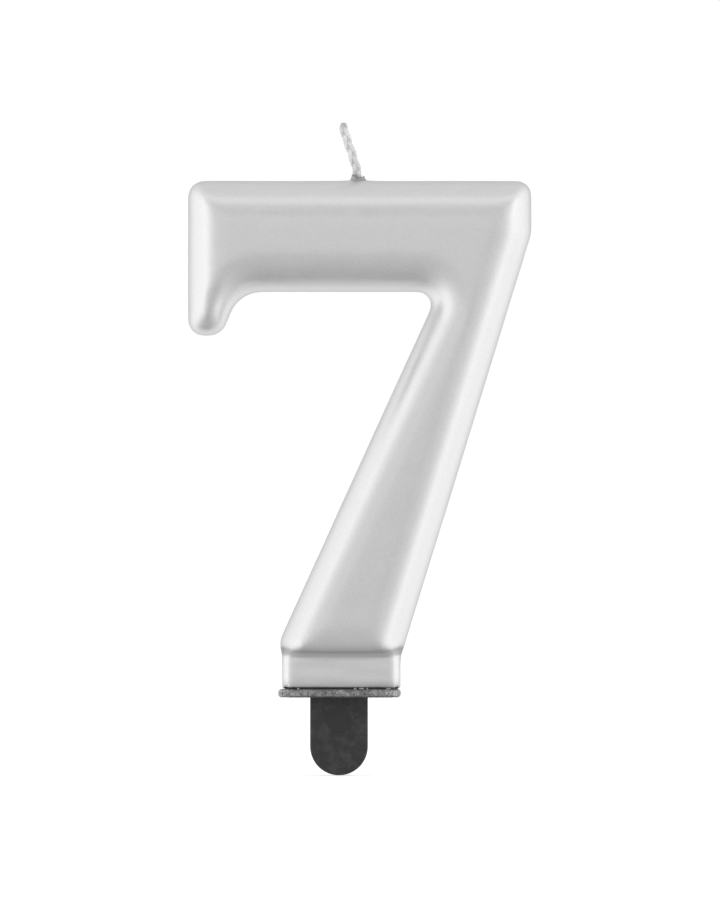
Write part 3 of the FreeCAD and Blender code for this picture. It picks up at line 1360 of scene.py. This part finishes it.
@dataclass(frozen=True)
class Studio:
    """Pale floor, white surround and soft panels, with a long lens level in front of the numeral."""

    distance: float = 3.0
    view_height: float = 139.53 * MM
    aim: Point = (3.256 * MM, 0.0, 38.29 * MM)
    sensor: float = 36.0
    panels: tuple[Panel, ...] = (
        Panel("left_panel", -65.0, 0.0, 0.9, (0.32, 1.10), 0.25),
        Panel("right_panel", 65.0, 0.0, 0.9, (0.32, 1.10), 0.31),
        Panel("top_panel", 0.0, 60.0, 0.9, (1.10, 0.35), 0.30),
        Panel("key_panel", -6.0, 10.0, 0.50, (0.30, 0.16), 0.035),
    )
    sides: float = 1.20
    front: float = 0.575
    behind: float = 0.87
    backdrop: float = 1.03
    above: float = 0.742
    below: float = 0.40
    table: float = 0.38
    turn: float = 0.05
    far: float = 40.0
    floor_half: float = 12.0
    floor_cloud: float = 0.25
    floor_tones: tuple[Colour, Colour] = ((0.90, 0.90, 0.90), (0.94, 0.94, 0.94))
    floor_glow: float = 0.38

    def camera(self) -> None:
        """Level camera straight in front."""
        data = bpy.data.cameras.new("camera")
        data.sensor_width = self.sensor
        data.lens = self.sensor * self.distance / self.view_height
        data.clip_end = self.far
        camera = bpy.data.objects.new("camera", data)
        camera.location = (self.aim[0], -self.distance, self.aim[2])
        camera.rotation_euler = (math.pi / 2, 0.0, 0.0)
        bpy.context.scene.collection.objects.link(camera)
        bpy.context.scene.camera = camera

    def surround(self) -> None:
        """Room light that differs smoothly by direction, with a plain backdrop for the camera."""
        world = bpy.data.worlds.new("surround")
        world.use_nodes = True
        room = Wiring(world.node_tree, "Generated")
        shares = []
        for letter, minus, plus in (("X", self.sides, self.sides), ("Y", self.front, self.behind),
                                    ("Z", self.below, self.above)):
            part = room.axis(letter)
            strength = room.mapped(part, -self.turn, self.turn, minus, plus)
            shares.append((room.maths("POWER", room.maths("ABSOLUTE", part), 2.0), strength))
        back_part, low_part = room.axis("Y"), room.axis("Z")
        table = room.mapped(room.product(back_part, low_part), 0.0, -0.5, 0.0, self.table)
        shares.append((table, room.maths("GREATER_THAN", back_part, 0.0)))
        seen = room.node("ShaderNodeLightPath").outputs["Is Camera Ray"]
        strength = room.node("ShaderNodeMix", Factor=seen, A=room.sum(*shares), B=self.backdrop)
        back = room.node("ShaderNodeBackground", Color=WHITE, Strength=strength.outputs["Result"])
        room.node("ShaderNodeOutputWorld", Surface=back.outputs["Background"])
        bpy.context.scene.world = world

    def light(self, panel: Panel) -> None:
        """Sets one panel up, aimed at the middle of the numeral.

        Args:
            panel: The panel.
        """
        data = bpy.data.lights.new(panel.name, "AREA")
        data.shape = "RECTANGLE"
        data.size, data.size_y = panel.size
        data.energy = panel.power
        light = bpy.data.objects.new(panel.name, data)
        light.location = Vector(self.aim) + panel.direction() * panel.reach
        light.rotation_mode = "QUATERNION"
        light.rotation_quaternion = panel.direction().to_track_quat("Z", "Y")
        light.visible_camera = False
        bpy.context.scene.collection.objects.link(light)

    def floor(self) -> None:
        """Large pale floor that the tongue's tip just reaches, clear when seen from below."""
        low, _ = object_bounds()
        bm = bmesh.new()
        bmesh.ops.create_grid(bm, x_segments=1, y_segments=1, size=self.floor_half,
                              matrix=Matrix.Translation((0, 0, low.z)))
        floor = loose_object("floor", bm)
        bench = Bench("pale_floor")
        tone = bench.mix(bench.cloud(self.floor_cloud, 2.0), *self.floor_tones)
        floor.data.materials.append(bench.shade(Base_Color=tone, Roughness=0.8, Emission_Color=WHITE,
                                                Emission_Strength=self.floor_glow))
        floor.visible_glossy = False
        either = bench.node("ShaderNodeMixShader")
        ends = (bench.node("ShaderNodeNewGeometry").outputs["Backfacing"], bench.shader.outputs["BSDF"],
                bench.node("ShaderNodeBsdfTransparent").outputs["BSDF"])
        for socket, end in zip(either.inputs, ends):
            bench.feed(socket, end)
        bench.feed(bench.output.inputs["Surface"], either.outputs["Shader"])
        floor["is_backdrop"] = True

    def build(self) -> None:
        """Sets up camera, surround, lights and floor."""
        self.camera()
        self.surround()
        self.floor()
        for panel in self.panels:
            self.light(panel)
        bpy.context.scene.view_settings.view_transform = "Standard"


def main() -> None:
    """Builds the candle piece by piece, then the studio."""
    logging.basicConfig(level=logging.INFO, format="%(name)s: %(message)s")
    lacquer = PearlLacquer().build()
    wax = CandleWax().build()
    black = MouldedBlack().build()
    form = NumeralForm().build()
    pieces = [
        LacquerCoat(lacquer).build(form),
        WaxCore(wax).build(form),
        LacquerCollar(lacquer).build(),
        PlaitedWick(WickCotton().build()).build(),
        PlateOverspray(WornOverspray().build()).build(),
        LacquerBridges(lacquer).build(),
        dress("wick_seal", wax),
        dress("holder", black),
    ]
    form.free()
    dress("lacquer_coat", lacquer)
    dress("wax_body", wax)
    dress("wick", wax)
    for piece in pieces:
        log.info("%s: %d faces", piece.name, len(piece.data.polygons))
    Studio().build()


if __name__ == "__main__":
    main()
